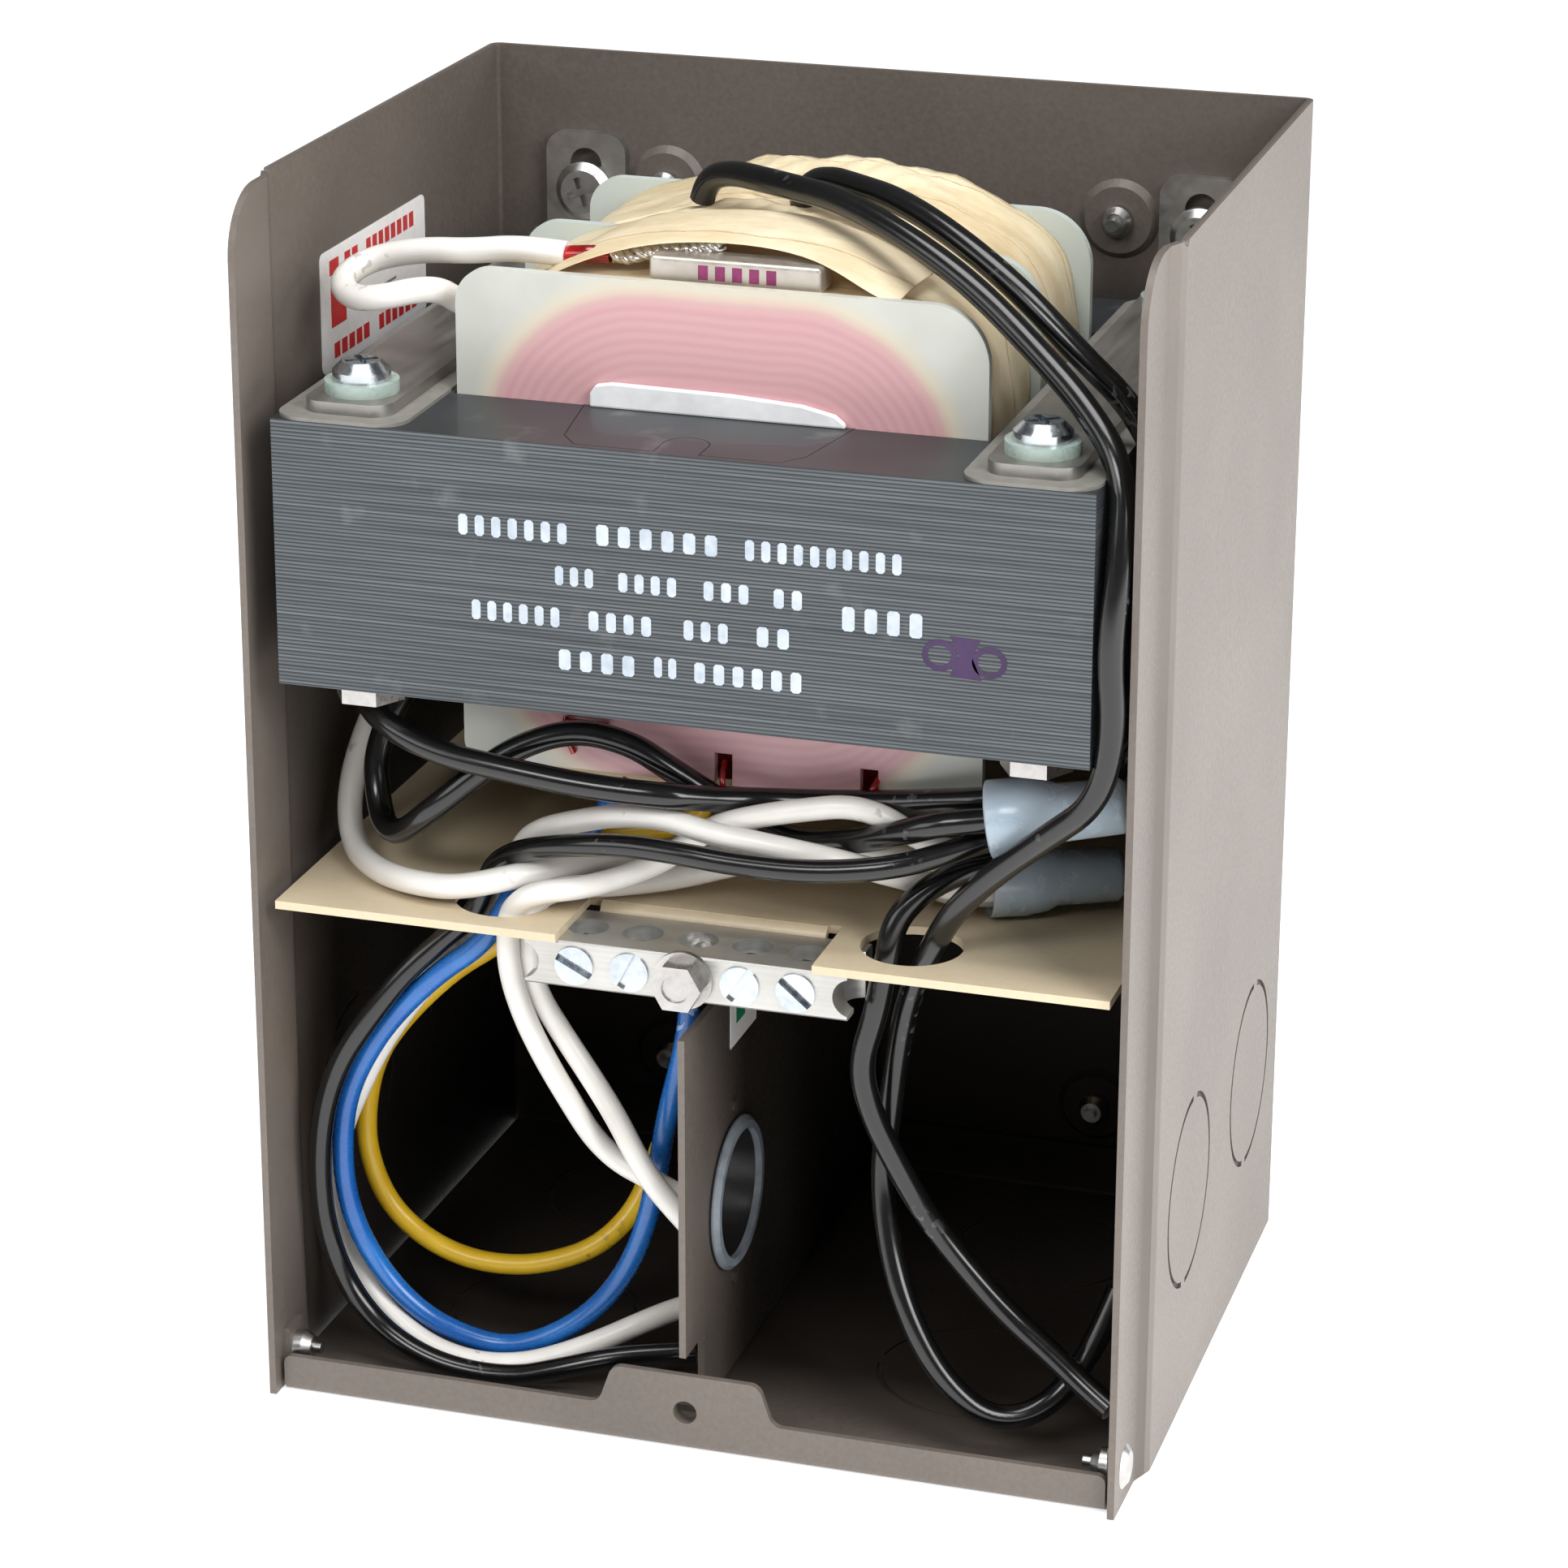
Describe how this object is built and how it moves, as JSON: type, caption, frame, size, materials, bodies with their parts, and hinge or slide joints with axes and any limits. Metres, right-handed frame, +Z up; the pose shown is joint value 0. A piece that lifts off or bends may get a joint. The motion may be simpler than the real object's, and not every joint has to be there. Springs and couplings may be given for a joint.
{
  "type": "low voltage lighting transformer",
  "caption": "Open steel enclosure with a laminated transformer hung in the top, a divider with a ground bar, and two wiring compartments below.",
  "frame": {"origin": "middle of the enclosure on the surface that it stands on", "axes": "+X to the right seen from the open front, -Y out of the open front, +Z up"},
  "size_m": [0.1288, 0.1044, 0.178],
  "materials": {
    "enclosure_paint": "satin taupe powder coat",
    "grey_nylon": "moulded grey nylon",
    "bar_aluminium": "extruded, bright",
    "zinc_steel": "zinc plated",
    "silicon_steel": "dark steel laminations under clear varnish",
    "bobbin_nylon": "natural moulded nylon",
    "winding_fill": "enamelled copper",
    "coil_tape": "cream insulating tape",
    "insulation_sheet": "white insulating sheet",
    "washer_nylon": "natural nylon",
    "rivet_aluminium": "mill finish"
  },
  "bodies": {
    "root": {"enclosure_shell": "enclosure_paint", "bottom_panel": "enclosure_paint", "divider_plate": "enclosure_paint", "partition_plate": "enclosure_paint", "partition_bushing": "grey_nylon", "ground_bar": "bar_aluminium", "ground_bar_screws": "zinc_steel", "ground_bar_hex_screw": "zinc_steel", "core_frame_laminations": "silicon_steel", "core_centre_leg": "silicon_steel", "bobbin": "bobbin_nylon", "front_winding": "winding_fill", "rear_winding": "winding_fill", "front_tape": "coil_tape", "rear_tape": "coil_tape", "window_wedge": "insulation_sheet", "thermal_cutoff": "zinc_steel", "insulation_plates": "insulation_sheet", "mounting_bracket_left": "zinc_steel", "mounting_bracket_right": "zinc_steel", "core_bolts": "zinc_steel", "nylon_washers": "washer_nylon", "flat_washers": "zinc_steel", "core_nuts": "zinc_steel", "bracket_screws": "zinc_steel", "wall_rivets": "rivet_aluminium", "panel_rivets": "rivet_aluminium"}
  },
  "joints": []
}
